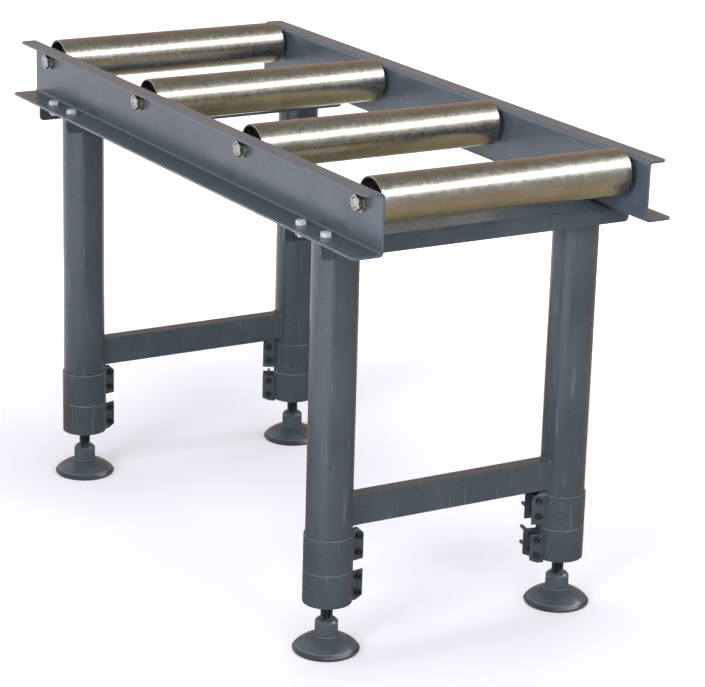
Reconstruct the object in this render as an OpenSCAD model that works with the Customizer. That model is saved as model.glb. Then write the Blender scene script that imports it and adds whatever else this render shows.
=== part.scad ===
// Material support stand: a short gravity roller table.
// Two folded side rails carry four steel rollers. Each end of the table stands on a leg frame of
// one channel crossbar, two tube legs and a stretcher. Every leg telescopes in a clamp sleeve and
// ends in a screw-adjusted foot.
// X runs along the roller axles, Y along the rails with the near end at -Y, and Z is up.
// The origin lies on the floor under the middle of the table.

/* [Table] */
// Height of the roller tops above the floor with the legs pushed in
table_h = 642; // [600:1:760]
// Length of the side rails
rail_l = 1000; // [900:5:1400]
// Clear width between the rail webs
web_gap = 379; // [350:1:480]
// Distance of each leg frame from the end of the rails
leg_inset = 132; // [110:1:200]
// Distance of each leg axis in from the rail web
leg_in_web = 11.5; // [6:0.5:60]

/* [Rails] */
// Height of a side rail
rail_h = 78; // [70:1:100]
// Sheet thickness of a side rail
rail_t = 3; // [2.5:0.5:5]
// Overall width of the upper flange
top_flange_w = 28; // [24:1:38]
// Overall width of the lower flange
bottom_flange_w = 41; // [34:1:50]
// Outside radius of the rail's bends
rail_bend_r = 6; // [6:0.5:12]
// Corner cut at the ends of the flanges
flange_cut = 5; // [2:1:8]
// Height of the roller tops above the rails
roller_rise = 8; // [4:0.5:16]

/* [Rollers] */
// Distance of the first and last axle from the ends of the rails
roller_margin = 50; // [40:1:120]
// Outside diameter of a roller tube
roller_d = 60; // [54:1:70]
// Wall of a roller tube
roller_wall = 3; // [2:0.5:3.5]
// Gap between a roller end and the rail web
roller_end_gap = 9.5; // [6:0.5:20]
// Depth of the open mouth at each roller end
roller_recess = 14; // [8:1:24]
// Axial length of a bearing housing
housing_l = 17; // [15:1:24]
// Diameter of the axle between the rails
axle_d = 20; // [18:1:22]
// Diameter of the threaded axle ends
axle_thread_d = 12; // [10:1:14]

/* [Bearings] */
// Outside diameter of a ball bearing
bearing_d = 42; // [40:1:46]
// Width of a ball bearing
bearing_w = 12; // [10:1:14]
// Diameter of a bearing ball
ball_d = 6; // [5:0.5:6]
// Number of balls in a bearing
ball_count = 9; // [6:1:11]
// Radial thickness of the inner ring
inner_ring_t = 3.4; // [3:0.1:4]
// Radial running clearance between turning pieces
running_clearance = 0.06; // [0.03:0.01:0.1]

/* [Leg frames] */
// Width of a crossbar along the table
crossbar_w = 94; // [80:1:110]
// Height of a crossbar
crossbar_h = 22; // [18:1:30]
// Distance of a crossbar's ends in from the edges of the rails
crossbar_inset = 4.5; // [0:0.5:10]
// Sheet thickness of a crossbar
crossbar_t = 3; // [2:0.5:4]
// Outside radius of a crossbar's bends
crossbar_bend_r = 6; // [5:0.5:9]
// Diameter of a leg tube
leg_d = 60; // [54:1:64]
// Wall of a leg tube
leg_wall = 2.6; // [2:0.1:3.2]
// Height of a stretcher tube
stretcher_h = 40; // [30:1:50]
// Depth of a stretcher tube
stretcher_w = 20; // [15:1:30]
// Wall of a stretcher tube
stretcher_t = 2; // [1.5:0.5:3]
// Gap between a clamp sleeve and the stretcher above it
stretcher_gap = 8; // [6:1:40]

/* [Clamp sleeves] */
// Height of the sleeve's lower end above the floor
clamp_z = 68; // [64:1:90]
// Height of a clamp sleeve
clamp_h = 92; // [88:1:110]
// Sheet thickness of a clamp sleeve
clamp_t = 2; // [1.5:0.5:3]
// Height of the seam above the sleeve's lower end
seam_h = 45; // [42:1:50]
// Width of the seam between the two clamp halves
seam_w = 1; // [0.5:0.5:2]
// Distance between the middles of the two ears
ear_pitch = 24; // [20:1:30]
// Reach of the ears from the leg axis
ear_reach = 47; // [46.5:0.5:56]
// How far the ears reach below the sleeve
ear_sink = 4; // [0:0.5:6]
// Height of the notch between the upper and lower ears
notch_h = 14.5; // [10:0.5:18]
// Rise of the ears above the sleeve
ear_rise = 4; // [0:1:6]
// Width of the corner cuts of the ears
ear_cut = 11; // [4:1:11]
// Height of the corner cut of the upper ears
upper_ear_cut = 10; // [4:1:11]
// Height of the corner cut of the lower ears
lower_ear_cut = 4.5; // [2:0.5:8]
// Diameter of the clamp bolts
clamp_bolt_d = 5; // [4:1:6]
// Length of the clamp bolts under the head
clamp_bolt_l = 53; // [40:1:60]
// Spacing of the two bolts in one ear
clamp_bolt_pitch = 22; // [18:1:24]
// Turn of the near left clamp towards the far end
near_left_turn = 9; // [-30:1:30]
// Turn of the near right clamp towards the far end
near_right_turn = 11; // [-30:1:30]
// Turn of the far left clamp towards the far end
far_left_turn = 16; // [-30:1:30]
// Turn of the far right clamp towards the far end
far_right_turn = 29; // [-30:1:30]

/* [Height adjustment] */
// Space left above an inner leg tube inside its leg
inner_tube_gap = 15.5; // [2:0.5:80]
// Wall of an inner leg tube
inner_tube_wall = 3; // [2:0.5:4]
// Radial clearance between the inner and outer leg tubes
telescope_clearance = 0.3; // [0.3:0.1:0.8]
// Length of the threaded plug at the foot of the inner tube
plug_l = 20; // [14:1:30]

/* [Feet] */
// Diameter of the foot's thread
spindle_d = 16; // [12:1:20]
// Height of the spindle's top above the floor
spindle_top = 145; // [130:1:170]
// Width across flats of the spindle's hexagon
hex_af = 30; // [27:1:36]
// Height of the spindle's hexagon
hex_h = 20; // [16:1:22]
// Diameter of a foot
foot_d = 88; // [80:1:95]
// Height of a foot at its collar
foot_h = 22.5; // [21:0.5:26]
// Height of the foot's crown below its collar
crown_h = 21; // [18:0.5:21]
// Height of the ridge round a foot
ridge_h = 8.4; // [6:0.2:10]
// Rounding radius of the foot's crown
crown_r = 60; // [56:1:100]
// Radius of the ball at the spindle's end
ball_joint_r = 7; // [6.5:0.5:8]

/* [Hidden] */
$fn = 64;
EPS = 0.01;
// How far a cutter runs past the face that it opens
OVER = 1;
RAIL_TOP = table_h - roller_rise;
RAIL_Z = RAIL_TOP - rail_h;
AXLE_Z = table_h - roller_d / 2;
WEB_X = web_gap / 2;
WEB_OUT = WEB_X + rail_t;
ROLLER_L = web_gap - 2 * roller_end_gap;
TUBE_BORE_R = roller_d / 2 - roller_wall;
ROLLER_COUNT = 4;
ROLLERS = [for (k = [1:ROLLER_COUNT]) k];
ROLLER_PITCH = (rail_l - 2 * roller_margin) / (ROLLER_COUNT - 1);
SIDES = [-1, 1];

// Fasteners, as [across flats, height] for the hexagons
AXLE_NUT = [19, 7];
AXLE_WASHER = [24, 2.5];
AXLE_END_SUNK = 1;
FRAME_BOLT_D = 8;
FRAME_HEX = [13, 5.5];
FRAME_NUT_H = 6.5;
FRAME_BOLT_PITCH = 62;
FRAME_BOLT_FROM_WEB = 21;
FRAME_TAIL = 3;
HOLE_PLAY = 0.5;
NUT_BEVEL = 1.5;
// Clamp bolt heads and sockets, as [diameter or width across flats, height]
CLAMP_HEAD = [8.5, 5];
CLAMP_NUT = [8, 4];
CLAMP_SOCKET = [4, 2.5];
// Chamfered hexagons: angle of the cone, and the flat end as a share of the width across flats
NUT_ANGLE = 30;
NUT_SHARE = 0.95;
SPINDLE_ANGLE = 45;
SPINDLE_SHARE = 0.82;

// Ball bearings
RACE_SHIFT = 0.5;
SHOULDER_SHARE = 0.22;
GROOVE_PLAY = 0.08;
SEAL_T = 1;
BEARING_SUNK = 1;
HOUSING_LIP = 1;
RACE_R = (bearing_d + axle_d) / 4 + RACE_SHIFT;
SHOULDER_R = RACE_R + ball_d * SHOULDER_SHARE;
INNER_R = axle_d / 2 + inner_ring_t;

// Leg frames and clamp sleeves
LEG_X = WEB_X - leg_in_web;
LEG_Y = rail_l / 2 - leg_inset;
CROSSBAR_L = 2 * (WEB_X + bottom_flange_w - crossbar_inset);
SLEEVE_LAP = 2;
SLIT_W = 3;
TAB_GAP = 8.5;
EAR_BOLT_EDGE = 9;
FRAME_BOLT_X = WEB_X + FRAME_BOLT_FROM_WEB;
CROSSBAR_Z = RAIL_Z - crossbar_h;
LEG_TOP = RAIL_Z - crossbar_t;
LEG_Z = clamp_z + SLEEVE_LAP;
CLAMP_R = leg_d / 2 + clamp_t;
SEAM_Z = clamp_z + seam_h;
CLAMP_TOP = clamp_z + clamp_h;
STRETCHER_Z = CLAMP_TOP + stretcher_gap;
EAR_Y = ear_pitch / 2;
EAR_OUT = EAR_Y + clamp_t / 2;
EAR_Z = clamp_z - ear_sink;
CLAMP_BOLT_X = ear_reach - EAR_BOLT_EDGE;
LOWER_TAB_TOP = SEAM_Z - TAB_GAP;
UPPER_TAB_Z = LOWER_TAB_TOP + notch_h;
LOWER_BOLT_Z = (clamp_z + LOWER_TAB_TOP) / 2;
UPPER_BOLT_Z = (UPPER_TAB_Z + CLAMP_TOP + ear_rise) / 2;
CLAMP_BOLT_ZS = [for (zm = [LOWER_BOLT_Z, UPPER_BOLT_Z], s = SIDES) zm + s * clamp_bolt_pitch / 2];

// Inner tubes, spindles and feet
INNER_TUBE_R = leg_d / 2 - leg_wall - telescope_clearance;
INNER_BORE_R = INNER_TUBE_R - inner_tube_wall;
INNER_TUBE_L = LEG_TOP - clamp_z - inner_tube_gap;
HEX_GAP = 0.3;
NECK_R = 4.5;
NECK_PLAY = 1;
BALL_COVER = 4.5;
FOOT_DRAFT = 2;
RIM_Z = 3.5;
RIDGE_INSET = 4;
CROWN_TOP_R = 16;
HEX_Z = foot_h + HEX_GAP;
HEX_TOP = HEX_Z + hex_h;
BALL_Z = foot_h - ball_joint_r - BALL_COVER;
RIDGE_R = foot_d / 2 - RIDGE_INSET;

// The four legs: name, side along X, end along Y, turn of the clamp
LEGS = [
    ["near_left", -1, -1, near_left_turn],
    ["near_right", 1, -1, near_right_turn],
    ["far_left", -1, 1, far_left_turn],
    ["far_right", 1, 1, far_right_turn]
];

PAINT = [0.33, 0.37, 0.41];
CHROMATE = [0.62, 0.60, 0.48];
ZINC = [0.80, 0.81, 0.83];
STEEL = [0.62, 0.63, 0.65];
BLACK = [0.13, 0.13, 0.14];
CAST = [0.28, 0.31, 0.34];

function roller_y(k) = (k - (ROLLER_COUNT + 1) / 2) * ROLLER_PITCH;

// Plain solid shapes

// Hexagonal prism standing on the XY plane
module hex_prism(af, h) {
    cylinder(d = af / cos(30), h = h, $fn = 6);
}

// Hexagonal prism whose corners are turned to a cone at the top
module hex_chamfered(af, h, angle, share) {
    corner_r = af / cos(30) / 2;
    face_r = share * af / 2;
    chamfer = (corner_r - face_r) * tan(angle);
    intersection() {
        hex_prism(af, h);
        union() {
            cylinder(r = corner_r + OVER, h = h - chamfer);
            translate([0, 0, h - chamfer]) cylinder(r1 = corner_r + EPS, r2 = face_r, h = chamfer);
        }
    }
}

// Tube along Z
module tube(r_out, r_in, h) {
    difference() {
        cylinder(r = r_out, h = h);
        translate([0, 0, -OVER]) cylinder(r = r_in, h = h + 2 * OVER);
    }
}

// Turns a shape built along Z so that it lies along X
module along_x() {
    rotate([0, 90, 0]) children();
}

// Puts a shape that faces +X on both ends of the X axis
module both_ends() {
    for (s = SIDES) scale_x(s) children();
}

module scale_x(s) {
    if (s > 0) children();
    else mirror([1, 0, 0]) children();
}

// Places a leg's shape, built on the Z axis with the middle of the table at +X
module at_leg(leg) {
    translate([leg[1] * LEG_X, leg[2] * LEG_Y, 0]) scale_x(-leg[1]) children();
}

// Places a leg's shape with the clamp's opening at +X
module at_clamp(leg) {
    at_leg(leg) rotate([0, 0, leg[3]]) children();
}

// Side rails

// Quarter bend of a sheet with its outside corner at the origin
module bend_2d(r, t) {
    intersection() {
        square([r, r]);
        translate([r, r])
            difference() {
                circle(r = r);
                circle(r = r - t);
            }
    }
}

// Section of a rail: web on the Y axis, flanges towards +X
module rail_section() {
    translate([0, rail_bend_r]) square([rail_t, rail_h - 2 * rail_bend_r]);
    bend_2d(rail_bend_r, rail_t);
    translate([rail_bend_r, 0]) square([bottom_flange_w - rail_bend_r, rail_t]);
    translate([0, rail_h]) mirror([0, 1]) bend_2d(rail_bend_r, rail_t);
    translate([rail_bend_r, rail_h - rail_t]) square([top_flange_w - rail_bend_r, rail_t]);
}

// Diamond cutters that take the corners off both ends of a flange whose edge is at x
module flange_corner_cuts(x, z) {
    for (s = SIDES)
        translate([x, s * rail_l / 2, z])
            rotate([0, 0, 45])
                cube([flange_cut * sqrt(2), flange_cut * sqrt(2), 4 * rail_t], center = true);
}

// Right-hand rail with its axle and bolt holes
module rail() {
    difference() {
        translate([WEB_X, 0, RAIL_Z])
            rotate([90, 0, 0])
                linear_extrude(height = rail_l, center = true) rail_section();
        flange_corner_cuts(WEB_X + top_flange_w, RAIL_TOP);
        flange_corner_cuts(WEB_X + bottom_flange_w, RAIL_Z);
        for (k = ROLLERS)
            translate([WEB_X - OVER, roller_y(k), AXLE_Z])
                along_x() cylinder(d = axle_thread_d + HOLE_PLAY, h = rail_t + 2 * OVER);
        frame_bolt_places() translate([0, 0, RAIL_Z - OVER]) frame_bolt_hole(rail_t);
    }
}

module rail_left() {
    color(PAINT) mirror([1, 0, 0]) rail();
}

module rail_right() {
    color(PAINT) rail();
}

// Leg frames

// The bolt axes on the right-hand side of the table
module frame_bolt_places() {
    for (end = SIDES, s = SIDES)
        translate([FRAME_BOLT_X, end * LEG_Y + s * FRAME_BOLT_PITCH / 2, 0]) children();
}

module frame_bolt_hole(sheet_t) {
    cylinder(d = FRAME_BOLT_D + HOLE_PLAY, h = sheet_t + 2 * OVER);
}

// Section of a crossbar, open downwards, centred on the Y axis
module crossbar_section() {
    side = crossbar_w / 2 - crossbar_bend_r;
    translate([-side, crossbar_h - crossbar_t]) square([2 * side, crossbar_t]);
    for (m = [0, 1])
        mirror([m, 0]) {
            translate([crossbar_w / 2, crossbar_h]) rotate(180) bend_2d(crossbar_bend_r, crossbar_t);
            translate([crossbar_w / 2 - crossbar_t, 0]) square([crossbar_t, crossbar_h - crossbar_bend_r]);
        }
}

// Side view of a crossbar with its lower corners rounded
module crossbar_outline() {
    r = crossbar_bend_r;
    translate([-CROSSBAR_L / 2, r]) square([CROSSBAR_L, crossbar_h]);
    translate([r - CROSSBAR_L / 2, 0]) square([CROSSBAR_L - 2 * r, r]);
    for (s = SIDES) translate([s * (CROSSBAR_L / 2 - r), r]) circle(r = r);
}

module crossbar(end) {
    color(PAINT)
        difference() {
            translate([0, end * LEG_Y, CROSSBAR_Z])
                intersection() {
                    rotate([90, 0, 90])
                        linear_extrude(height = CROSSBAR_L + 2 * OVER, center = true) crossbar_section();
                    rotate([90, 0, 0])
                        linear_extrude(height = crossbar_w + 2 * OVER, center = true) crossbar_outline();
                }
            both_ends() frame_bolt_places() translate([0, 0, LEG_TOP - OVER]) frame_bolt_hole(crossbar_t);
        }
}

// Rectangular tube between the legs, coped to fit them
module stretcher(end) {
    color(PAINT)
        translate([0, end * LEG_Y, STRETCHER_Z])
            difference() {
                translate([-LEG_X, -stretcher_w / 2, 0]) cube([2 * LEG_X, stretcher_w, stretcher_h]);
                translate([-LEG_X - OVER, stretcher_t - stretcher_w / 2, stretcher_t])
                    cube([2 * (LEG_X + OVER), stretcher_w - 2 * stretcher_t, stretcher_h - 2 * stretcher_t]);
                for (s = SIDES)
                    translate([s * LEG_X, 0, -OVER]) cylinder(d = leg_d, h = stretcher_h + 2 * OVER);
            }
}

// Outer leg tube with the slit that lets its end be squeezed
module leg_tube(leg) {
    color(PAINT)
        at_clamp(leg)
            difference() {
                translate([0, 0, LEG_Z]) tube(leg_d / 2, leg_d / 2 - leg_wall, LEG_TOP - LEG_Z);
                translate([0, -SLIT_W / 2, LEG_Z - OVER]) cube([leg_d, SLIT_W, SEAM_Z - LEG_Z + OVER]);
            }
}

// Bolts that hold the rails to the crossbars
module frame_bolts() {
    shank_l = rail_t + crossbar_t + FRAME_NUT_H + FRAME_TAIL;
    color(ZINC)
        both_ends() frame_bolt_places()
            translate([0, 0, RAIL_Z + rail_t]) {
                hex_chamfered(FRAME_HEX[0], FRAME_HEX[1], NUT_ANGLE, NUT_SHARE);
                translate([0, 0, -shank_l]) cylinder(d = FRAME_BOLT_D, h = shank_l + EPS);
            }
}

module frame_nuts() {
    color(ZINC)
        both_ends() frame_bolt_places()
            translate([0, 0, LEG_TOP - FRAME_NUT_H])
                difference() {
                    hex_prism(FRAME_HEX[0], FRAME_NUT_H);
                    translate([0, 0, -OVER]) cylinder(d = FRAME_BOLT_D, h = FRAME_NUT_H + 2 * OVER);
                }
}

// Rollers, built along Z with the middle of the roller at the origin

module at_roller(k) {
    translate([0, roller_y(k), AXLE_Z]) along_x() children();
}

module roller_ends() {
    for (m = [0, 1]) mirror([0, 0, m]) translate([0, 0, ROLLER_L / 2 - roller_recess]) children();
}

module roller_tube(k) {
    color(CHROMATE) at_roller(k) translate([0, 0, -ROLLER_L / 2]) tube(roller_d / 2, TUBE_BORE_R, ROLLER_L);
}

// Turned plug that holds a bearing in each end of the tube
module bearing_housings(k) {
    color(ZINC)
        at_roller(k) roller_ends()
            translate([0, 0, -housing_l])
                difference() {
                    cylinder(r = TUBE_BORE_R, h = housing_l);
                    translate([0, 0, housing_l - BEARING_SUNK - bearing_w])
                        cylinder(d = bearing_d, h = bearing_w + BEARING_SUNK + OVER);
                    translate([0, 0, -OVER]) cylinder(r = SHOULDER_R - HOUSING_LIP, h = housing_l);
                }
}

// Places a bearing's shape, built from z = 0 to its width
module bearing_places() {
    roller_ends() translate([0, 0, -bearing_w - BEARING_SUNK]) children();
}

// Groove that a ball runs in, at the middle of the bearing's width
module raceway() {
    translate([0, 0, bearing_w / 2])
        rotate_extrude() translate([RACE_R, 0]) circle(r = ball_d / 2 + GROOVE_PLAY, $fn = 32);
}

// Outer ring, balls and seals turn with the roller
module ball_bearings(k) {
    color(STEEL)
        at_roller(k) bearing_places() {
            difference() {
                tube(bearing_d / 2, SHOULDER_R, bearing_w);
                raceway();
            }
            for (z = [0, bearing_w - SEAL_T])
                translate([0, 0, z]) tube(SHOULDER_R, INNER_R + running_clearance, SEAL_T);
            for (i = [0:ball_count - 1])
                rotate([0, 0, 360 * i / ball_count])
                    translate([RACE_R, 0, bearing_w / 2]) sphere(d = ball_d, $fn = 32);
        }
}

// Inner rings sit still on the axles
module bearing_inner_rings() {
    color(STEEL)
        for (k = ROLLERS)
            at_roller(k) bearing_places()
                difference() {
                    tube(INNER_R, axle_d / 2, bearing_w);
                    raceway();
                }
}

// Axle that butts against both webs and passes its threaded ends through them
module axle(k) {
    end_l = rail_t + AXLE_WASHER[1] + AXLE_NUT[1] - AXLE_END_SUNK;
    color(STEEL)
        at_roller(k) {
            translate([0, 0, -WEB_X]) cylinder(d = axle_d, h = web_gap);
            translate([0, 0, -WEB_X - end_l]) cylinder(d = axle_thread_d, h = web_gap + 2 * end_l);
        }
}

// Places a fastener on the outside of both webs at every axle
module at_axle_ends() {
    for (k = ROLLERS)
        translate([0, roller_y(k), AXLE_Z])
            both_ends() translate([WEB_OUT, 0, 0]) along_x() children();
}

module axle_washers() {
    color(ZINC) at_axle_ends() tube(AXLE_WASHER[0] / 2, axle_thread_d / 2, AXLE_WASHER[1]);
}

module axle_nuts() {
    color(ZINC)
        at_axle_ends()
            translate([0, 0, AXLE_WASHER[1]])
                difference() {
                    hex_chamfered(AXLE_NUT[0], AXLE_NUT[1], NUT_ANGLE, NUT_SHARE);
                    translate([0, 0, -OVER]) cylinder(d = axle_thread_d, h = AXLE_NUT[1] + 2 * OVER);
                    translate([0, 0, AXLE_NUT[1] - NUT_BEVEL])
                        cylinder(d1 = axle_thread_d, d2 = axle_thread_d + 2 * NUT_BEVEL, h = NUT_BEVEL + EPS);
                }
}

// Clamp sleeves, built on the leg's axis with the ears towards +X

// Side view of the ears: a lower and an upper tab with their outer corners cut
module ear_outline() {
    polygon([
        [0, EAR_Z],
        [ear_reach - ear_cut, EAR_Z],
        [ear_reach, EAR_Z + lower_ear_cut],
        [ear_reach, LOWER_TAB_TOP],
        [0, LOWER_TAB_TOP]
    ]);
    polygon([
        [0, UPPER_TAB_Z],
        [ear_reach, UPPER_TAB_Z],
        [ear_reach, CLAMP_TOP + ear_rise - upper_ear_cut],
        [ear_reach - ear_cut, CLAMP_TOP + ear_rise],
        [0, CLAMP_TOP + ear_rise]
    ]);
}

module clamp_sleeve(leg) {
    cut_h = ear_sink + clamp_h + ear_rise + 2 * OVER;
    color(PAINT)
        at_clamp(leg)
            difference() {
                union() {
                    translate([0, 0, clamp_z]) cylinder(r = CLAMP_R, h = clamp_h);
                    for (s = SIDES)
                        translate([0, s * EAR_Y, 0])
                            rotate([90, 0, 0])
                                linear_extrude(height = clamp_t, center = true) ear_outline();
                }
                translate([0, 0, EAR_Z - OVER]) cylinder(d = leg_d, h = cut_h);
                translate([0, clamp_t / 2 - EAR_Y, EAR_Z - OVER])
                    cube([leg_d, ear_pitch - clamp_t, cut_h]);
                translate([0, 0, SEAM_Z - seam_w / 2])
                    tube(CLAMP_R + OVER, CLAMP_R - clamp_t / 2, seam_w);
                for (z = CLAMP_BOLT_ZS)
                    translate([CLAMP_BOLT_X, EAR_OUT + OVER, z])
                        rotate([90, 0, 0]) cylinder(d = clamp_bolt_d, h = 2 * (EAR_OUT + OVER));
            }
}

// Puts a shape built along Z on the near ear, pointing at the far one
module at_clamp_bolts(leg) {
    at_clamp(leg)
        for (z = CLAMP_BOLT_ZS)
            translate([CLAMP_BOLT_X, -EAR_OUT, z]) rotate([-90, 0, 0]) children();
}

module clamp_bolts(leg) {
    color(BLACK)
        at_clamp_bolts(leg) {
            cylinder(d = clamp_bolt_d, h = clamp_bolt_l);
            difference() {
                translate([0, 0, -CLAMP_HEAD[1]]) cylinder(d = CLAMP_HEAD[0], h = CLAMP_HEAD[1]);
                translate([0, 0, -CLAMP_HEAD[1] - EPS]) hex_prism(CLAMP_SOCKET[0], CLAMP_SOCKET[1]);
            }
        }
}

module clamp_nuts() {
    color(BLACK)
        for (leg = LEGS)
            at_clamp_bolts(leg)
                translate([0, 0, 2 * EAR_OUT])
                    difference() {
                        hex_prism(CLAMP_NUT[0], CLAMP_NUT[1]);
                        translate([0, 0, -OVER]) cylinder(d = clamp_bolt_d, h = CLAMP_NUT[1] + 2 * OVER);
                    }
}

// Height adjustment

module inner_tube(leg) {
    color(STEEL) at_leg(leg) translate([0, 0, clamp_z]) tube(INNER_TUBE_R, INNER_BORE_R, INNER_TUBE_L);
}

module thread_plug(leg) {
    color(STEEL)
        at_leg(leg)
            translate([0, 0, clamp_z]) tube(INNER_BORE_R, spindle_d / 2 + running_clearance, plug_l);
}

// Foot screw: thread, hexagon, neck and the ball that stands in the foot
module spindle(leg) {
    color(BLACK)
        at_leg(leg) {
            translate([0, 0, HEX_TOP]) cylinder(d = spindle_d, h = spindle_top - HEX_TOP);
            translate([0, 0, HEX_Z]) hex_chamfered(hex_af, hex_h, SPINDLE_ANGLE, SPINDLE_SHARE);
            translate([0, 0, BALL_Z]) cylinder(r = NECK_R, h = HEX_Z - BALL_Z + EPS);
            translate([0, 0, BALL_Z]) sphere(r = ball_joint_r);
        }
}

// Half section of a foot: flat bottom, rim, ridge, an arched crown and the collar round the screw
module foot_section() {
    rim = foot_d / 2;
    chord = [CROWN_TOP_R - RIDGE_R, crown_h - ridge_h];
    depth = sqrt(pow(crown_r / norm(chord), 2) - 1 / 4);
    middle = [RIDGE_R + CROWN_TOP_R - chord[1] * 2 * depth, ridge_h + crown_h + chord[0] * 2 * depth] / 2;
    intersection() {
        translate(middle) circle(r = crown_r, $fn = 128);
        polygon([
            [0, 0],
            [rim - FOOT_DRAFT, 0],
            [rim, RIM_Z],
            [RIDGE_R, ridge_h],
            [RIDGE_R, crown_h],
            [0, crown_h]
        ]);
    }
    square([CROWN_TOP_R, foot_h]);
}

module foot(leg) {
    color(CAST)
        at_leg(leg)
            difference() {
                rotate_extrude($fn = 96) foot_section();
                translate([0, 0, BALL_Z]) sphere(r = ball_joint_r + running_clearance);
                translate([0, 0, BALL_Z]) cylinder(r = NECK_R + NECK_PLAY, h = foot_h);
            }
}

rail_left();
rail_right();
crossbar(-1);  // crossbar_near
crossbar(1);  // crossbar_far
stretcher(-1);  // stretcher_near
stretcher(1);  // stretcher_far
frame_bolts();
frame_nuts();
axle_nuts();
axle_washers();
bearing_inner_rings();
clamp_nuts();
for (k = ROLLERS) {
    roller_tube(k);
    bearing_housings(k);
    ball_bearings(k);
    axle(k);
}
for (leg = LEGS) {
    leg_tube(leg);
    clamp_sleeve(leg);
    clamp_bolts(leg);
    inner_tube(leg);
    thread_plug(leg);
    spindle(leg);
    foot(leg);
}
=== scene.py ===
"""Looks of the material support stand: a short gravity roller table on telescopic legs."""
import logging
import math
from dataclasses import dataclass, field
from enum import Enum

import bmesh
import bpy
import numpy as np
from mathutils import Matrix, Vector


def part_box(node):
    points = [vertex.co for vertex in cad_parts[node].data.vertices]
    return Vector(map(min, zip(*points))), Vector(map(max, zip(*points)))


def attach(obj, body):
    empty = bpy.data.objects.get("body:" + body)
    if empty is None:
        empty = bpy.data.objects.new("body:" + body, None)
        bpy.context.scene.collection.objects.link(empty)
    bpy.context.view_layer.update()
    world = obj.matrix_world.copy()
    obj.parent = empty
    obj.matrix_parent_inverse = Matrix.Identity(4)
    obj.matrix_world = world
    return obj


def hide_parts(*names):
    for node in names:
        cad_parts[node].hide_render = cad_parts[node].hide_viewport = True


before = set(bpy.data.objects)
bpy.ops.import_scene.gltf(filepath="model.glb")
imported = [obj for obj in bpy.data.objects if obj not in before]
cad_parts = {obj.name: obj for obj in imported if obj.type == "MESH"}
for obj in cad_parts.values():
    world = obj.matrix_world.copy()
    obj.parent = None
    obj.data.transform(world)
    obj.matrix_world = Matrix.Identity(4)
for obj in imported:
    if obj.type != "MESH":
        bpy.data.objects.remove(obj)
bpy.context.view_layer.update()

log = logging.getLogger("stand")
LEGS = ("near_left", "near_right", "far_left", "far_right")
ENDS = ("near", "far")
ROLLERS = (1, 2, 3, 4)
MM = 0.001
TURN = 2 * math.pi
# Inputs and output of a Mix node that mixes colours
MIX_A, MIX_B, MIX_OUT = 6, 7, 2
# The angle between faces from which an edge stays sharp, or is eased
SHARP = math.radians(38)
# The distance under which a CAD mesh's points are one, and the angle under which its faces are level
MERGE = 0.002 * MM
FLAT = math.radians(0.4)
UP = np.array([0.0, 0.0, 1.0])


class Slot(Enum):
    """The record's material slots."""

    PAINT = "grey_paint"
    CHROMATE = "chromated_zinc"
    ZINC = "bright_zinc"
    STEEL = "bare_steel"
    BLACK = "black_oxide"
    FOOT = "cast_foot"


def linear(code: str) -> tuple[float, float, float, float]:
    """Turns a colour written as sRGB hex into linear light.

    Args:
        code: six hex digits after a hash sign
    Returns:
        red, green, blue and an alpha of 1
    """
    parts = np.array([int(code[i:i + 2], 16) for i in (1, 3, 5)]) / 255
    light = np.where(parts <= 0.04045, parts / 12.92, ((parts + 0.055) / 1.055) ** 2.4)
    return (*map(float, light), 1.0)


def add(tree: bpy.types.NodeTree, kind: str, links: dict | None = None, inputs: dict | None = None,
        **settings: object) -> bpy.types.Node:
    """Adds a node with its settings and links.

    Args:
        tree: the node tree of a material, lamp or world
        kind: the node's type without its common prefix
        links: output sockets to join to the node's inputs, by the input's name or number
        inputs: fixed values of inputs, by name or number
        settings: the node's own options
    Returns:
        the new node
    """
    node = tree.nodes.new("ShaderNode" + kind)
    for key, value in settings.items():
        setattr(node, key, value)
    for key, value in (inputs or {}).items():
        node.inputs[key].default_value = value
    for key, socket in (links or {}).items():
        tree.links.new(socket, node.inputs[key])
    return node


def noise(tree: bpy.types.NodeTree, place: bpy.types.NodeSocket, size_mm: float,
          detail: float) -> bpy.types.NodeSocket:
    """Adds a noise pattern.

    Args:
        tree: the material's tree
        place: the object coordinates
        size_mm: real size of its patches
        detail: number of finer layers
    Returns:
        the pattern, from 0 to 1
    """
    pattern = add(tree, "TexNoise", {"Vector": place}, {"Scale": 1 / (size_mm * MM), "Detail": detail})
    return pattern.outputs["Fac"]


def remap(tree: bpy.types.NodeTree, value: bpy.types.NodeSocket, span: tuple[float, float],
          low: float = 0.0, high: float = 1.0, **settings: object) -> bpy.types.NodeSocket:
    """Stretches a span of a value to another one and clamps it there.

    Args:
        tree: the node tree
        value: the value
        span: the values that become low and high
        low: result at the span's start and before it
        high: result at the span's end and past it
        settings: options of the node
    Returns:
        the stretched value
    """
    ends = {"From Min": span[0], "From Max": span[1], "To Min": low, "To Max": high}
    return add(tree, "MapRange", {"Value": value}, ends, **settings).outputs[0]


def blend(tree: bpy.types.NodeTree, share: bpy.types.NodeSocket, base: bpy.types.NodeSocket | str,
          over: str) -> bpy.types.NodeSocket:
    """Mixes a colour over another.

    Args:
        tree: the node tree
        share: how much of the second colour shows
        base: the first colour, as a socket or as hex
        over: the second colour as hex
    Returns:
        the mixed colour
    """
    links, inputs = {0: share}, {MIX_B: linear(over)}
    if isinstance(base, str):
        inputs[MIX_A] = linear(base)
    else:
        links[MIX_A] = base
    return add(tree, "Mix", links, inputs, data_type="RGBA").outputs[MIX_OUT]


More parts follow.
